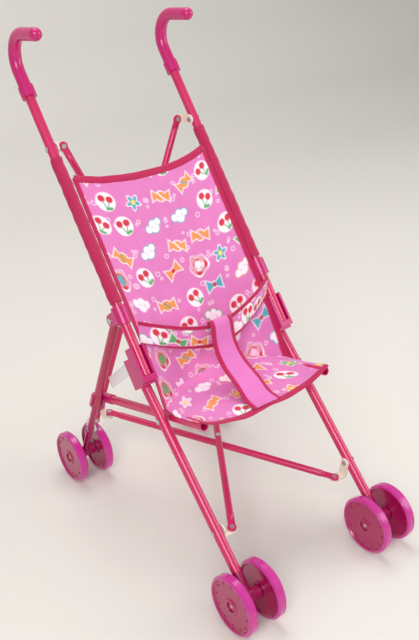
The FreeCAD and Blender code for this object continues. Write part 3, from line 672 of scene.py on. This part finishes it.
# %% Lap belt
belt_low, belt_high = (Vector(corner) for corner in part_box("lap_belt"))
belt_middle = (belt_low + belt_high) / 2


def hang_belt(u, v):
    rise = abs(u) ** 1.6
    x = u * 0.0885
    y = belt_middle.y + 0.023 * rise + 0.0012 * math.sin(5 * u + 3 * v)
    z = belt_high.z - v * (belt_high.z - belt_low.z) * (1 - 0.12 * rise) + 0.022 * rise - 0.001
    return Vector((x, y, z))


def banded(seed, edge):
    def colours_of(flat, points):
        colours = printed(flat, seed, 24)
        length = flat[:, 1].max()
        cover(colours, np.minimum(flat[:, 1], length - flat[:, 1]) - edge, np.array(CRIMSON))
        return colours
    return colours_of


belt, belt_size = cloth_piece("lap_belt_cloth", hang_belt, 190, 34, 0.0016, banded(5, 4.2))
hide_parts("lap_belt")
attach(belt, "seat")

# %% [markdown]
# The strap between the doll's legs wraps over the belt and runs down to the front edge. It widens
# on the way and is edged in crimson like the belt.

# %% Crotch strap
strap_line = smooth_path([
    Vector((0, belt_middle.y + 0.0042, belt_low.z + 0.006)),
    Vector((0, belt_middle.y + 0.0042, belt_high.z - 0.002)),
    Vector((0, belt_middle.y - 0.0005, belt_high.z + 0.0035)),
    Vector((0, belt_middle.y - 0.0052, belt_high.z - 0.002)),
    Vector((0, belt_middle.y - 0.0100, belt_low.z + 0.004)),
    Vector((0, belt_middle.y - 0.0240, belt_low.z - 0.013)),
    Vector((0, belt_middle.y - 0.0480, belt_low.z - 0.026)),
    Vector((0, pan_low.y + 0.014, pan_low.z + 0.0072)),
    Vector((0, pan_low.y - 0.0022, pan_low.z + 0.0048)),
])


def hang_strap(u, v):
    place = strap_line(v)
    half_width = 0.0125 + 0.0060 * v
    crown = 0.0014 * (1 - u * u)
    return place + Vector((u * half_width, -0.6 * crown, crown))


def strap_colours(flat, points):
    colours = np.tile(np.array(paint(224, 118, 188)), (len(flat), 1))
    width = np.interp(flat[:, 1], [0, flat[:, 1].max()], [12.5, 18.5])
    cover(colours, width - np.abs(flat[:, 0]) - 4.4, np.array(CRIMSON))
    return colours


strap, strap_size = cloth_piece("crotch_strap_cloth", hang_strap, 36, 190, 0.0014, strap_colours)
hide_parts("crotch_strap")

# %% [markdown]
# A plain white care label hangs from the side seam behind the left tube.

# %% Care label
def hang_label(u, v):
    place = Vector((-0.0835, 0.088 - 0.052 * v, 0.160 + 0.044 * v))
    return place + Vector((0.0008 * math.sin(6 * v), u * 0.004, u * 0.0055))


label, label_size = cloth_piece("care_label", hang_label, 8, 40, 0.0005, material=label_cloth)
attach(label, "seat")

# %% [markdown]
# When the stroller folds, the side frames come together and the real cloth crumples between
# them. The cloth here does not fold: each piece gets a mesh of its own, and the strap's place is
# baked into its points.

# %% Cloth meshes of their own
for piece in (back, belt, pan, top_binding, front_binding, label):
    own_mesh(piece)
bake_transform(strap)

# %% [markdown]
# Each sheet of cloth prints its flat size when it is made.


print("cloth pieces made")

# %% [markdown]
# The setting is a pale floor that curves up into a backdrop, a large soft light to the left and
# in front, a weaker one on the right, and one from above.

# %% Floor, world and lights
floor_mesh = bpy.data.meshes.new("floor")
floor_rows = [(-3, 0), (1.1, 0), (1.5, 0.05), (1.8, 0.25), (1.95, 0.6), (2.0, 1.2), (2.0, 4)]
floor_points = [(x, y, z) for y, z in floor_rows for x in (-4, 4)]
floor_faces = [(2 * i, 2 * i + 1, 2 * i + 3, 2 * i + 2) for i in range(len(floor_rows) - 1)]
floor_mesh.from_pydata(floor_points, [], floor_faces)
floor_mesh.polygons.foreach_set("use_smooth", [True] * len(floor_mesh.polygons))
floor = bpy.data.objects.new("floor", floor_mesh)
bpy.context.scene.collection.objects.link(floor)
floor_mesh.materials.append(finish("pale_floor", paint(226, 222, 214), 0.65, grain=60, lift=0.01,
                                   mottle=0.01))

world = bpy.data.worlds.new("studio")
bpy.context.scene.world = world
world.use_nodes = True
world.node_tree.nodes["Background"].inputs["Color"].default_value = (0.95, 0.96, 1.0, 1)
world.node_tree.nodes["Background"].inputs["Strength"].default_value = 0.48


def soft_light(name, place, power, size, aim=(0, 0, 0.25)):
    lamp = bpy.data.lights.new(name, "AREA")
    lamp.energy = power
    lamp.size = size
    light = bpy.data.objects.new(name, lamp)
    bpy.context.scene.collection.objects.link(light)
    light.location = place
    light.rotation_euler = (Vector(aim) - Vector(place)).to_track_quat("-Z", "Y").to_euler()
    return light


soft_light("key", (-1.4, -1.5, 1.6), 30, 1.1)
soft_light("fill", (1.5, -1.0, 0.9), 12, 1.2)
soft_light("top", (0.2, 0.5, 2.0), 16, 1.2)
print("lights set")

# %% [markdown]
# The camera looks down at the stroller from its front left, tilted by a hair. Its place comes
# from the direction it looks in, the distance, and a small slide to the side.

# %% Camera
azimuth = math.radians(-36.17)
elevation = math.radians(26.62)
roll = math.radians(-2.44)
forward = Vector((-math.sin(azimuth) * math.cos(elevation), math.cos(azimuth) * math.cos(elevation),
                  -math.sin(elevation)))
level_right = Vector((math.cos(azimuth), math.sin(azimuth), 0))
level_up = level_right.cross(forward)
right = level_right * math.cos(roll) + level_up * math.sin(roll)
upward = level_up * math.cos(roll) - level_right * math.sin(roll)
eye = millimetres(0, 7.25, 269.5) - forward * 0.9502 + right * 0.0056 - upward * 0.0216
camera_data = bpy.data.cameras.new("camera")
camera_data.lens = 48.34
camera_data.sensor_width = 36
camera = bpy.data.objects.new("camera", camera_data)
bpy.context.scene.collection.objects.link(camera)
camera.matrix_world = Matrix.Translation(eye) @ Matrix((right, upward, -forward)).transposed().to_4x4()
bpy.context.scene.camera = camera
bpy.context.scene.view_settings.view_transform = "Standard"
print("camera at", [round(value, 3) for value in eye])
